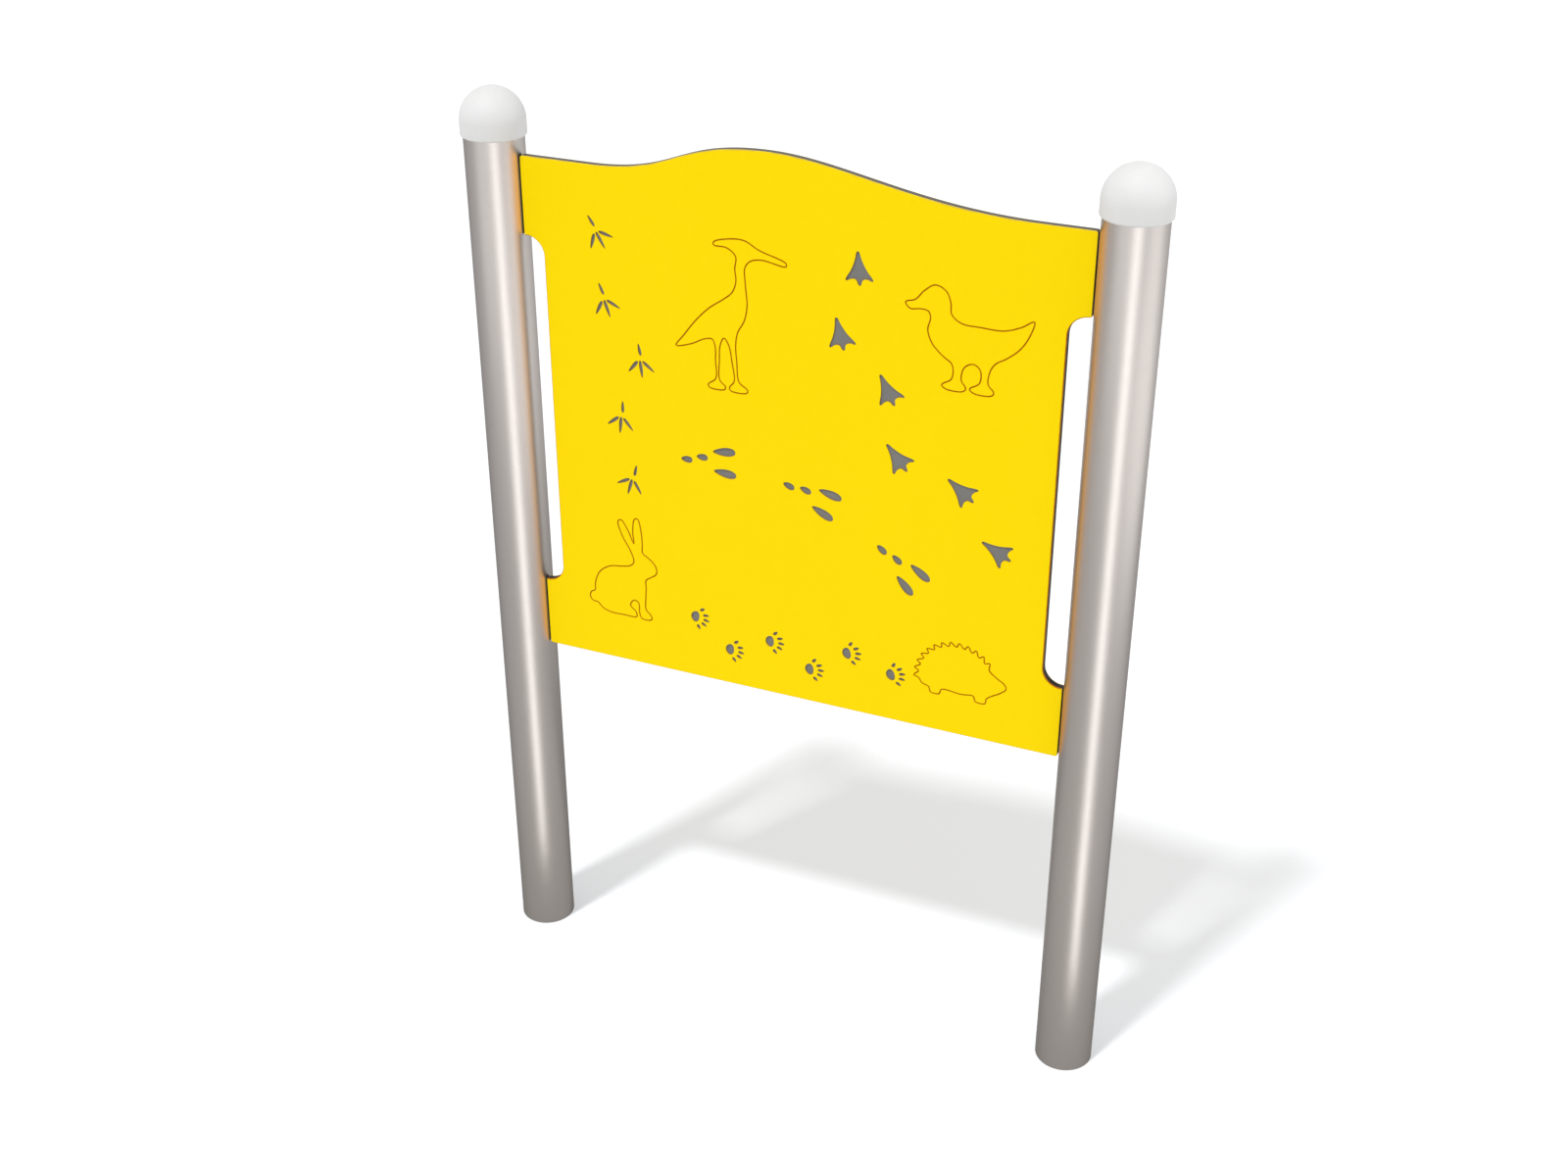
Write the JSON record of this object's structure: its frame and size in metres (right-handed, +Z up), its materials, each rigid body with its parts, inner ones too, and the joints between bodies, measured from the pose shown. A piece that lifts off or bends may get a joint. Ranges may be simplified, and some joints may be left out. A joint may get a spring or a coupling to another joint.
{
  "type": "park interpretation sign",
  "caption": "Wave-topped yellow panel with handhold notches and routed animal tracks, bracketed between two domed steel posts.",
  "frame": {"origin": "on the ground, midway between the two posts", "axes": "+X along the panel to the right as seen from the front, -Y the way the panel's front faces, +Z up"},
  "size_m": [1.183, 0.11, 1.6616],
  "materials": {
    "post_steel": "fine drawn satin",
    "zinc_steel": "zinc plated",
    "bolt_steel": "plain stainless",
    "insert_brass": "turned",
    "cap_plastic": "fine moulded grain",
    "yellow_sheet": "orange-peel sheet",
    "grey_core": "milled"
  },
  "bodies": {
    "root": {"post_left": "post_steel", "foot_plate_left": "zinc_steel", "cap_left": "cap_plastic", "post_right": "post_steel", "foot_plate_right": "zinc_steel", "cap_right": "cap_plastic", "panel_front_skin": "yellow_sheet", "panel_core": "grey_core", "panel_rear_skin": "yellow_sheet", "bracket_upper_left": "zinc_steel", "panel_bolt_upper_left_1": "bolt_steel", "panel_insert_upper_left_1": "insert_brass", "post_bolt_upper_left_1": "bolt_steel", "blind_nut_upper_left_1": "bolt_steel", "panel_bolt_upper_left_2": "bolt_steel", "panel_insert_upper_left_2": "insert_brass", "post_bolt_upper_left_2": "bolt_steel", "blind_nut_upper_left_2": "bolt_steel", "bracket_lower_left": "zinc_steel", "panel_bolt_lower_left_1": "bolt_steel", "panel_insert_lower_left_1": "insert_brass", "post_bolt_lower_left_1": "bolt_steel", "blind_nut_lower_left_1": "bolt_steel", "panel_bolt_lower_left_2": "bolt_steel", "panel_insert_lower_left_2": "insert_brass", "post_bolt_lower_left_2": "bolt_steel", "blind_nut_lower_left_2": "bolt_steel", "bracket_upper_right": "zinc_steel", "panel_bolt_upper_right_1": "bolt_steel", "panel_insert_upper_right_1": "insert_brass", "post_bolt_upper_right_1": "bolt_steel", "blind_nut_upper_right_1": "bolt_steel", "panel_bolt_upper_right_2": "bolt_steel", "panel_insert_upper_right_2": "insert_brass", "post_bolt_upper_right_2": "bolt_steel", "blind_nut_upper_right_2": "bolt_steel", "bracket_lower_right": "zinc_steel", "panel_bolt_lower_right_1": "bolt_steel", "panel_insert_lower_right_1": "insert_brass", "post_bolt_lower_right_1": "bolt_steel", "blind_nut_lower_right_1": "bolt_steel", "panel_bolt_lower_right_2": "bolt_steel", "panel_insert_lower_right_2": "insert_brass", "post_bolt_lower_right_2": "bolt_steel", "blind_nut_lower_right_2": "bolt_steel"}
  },
  "joints": []
}
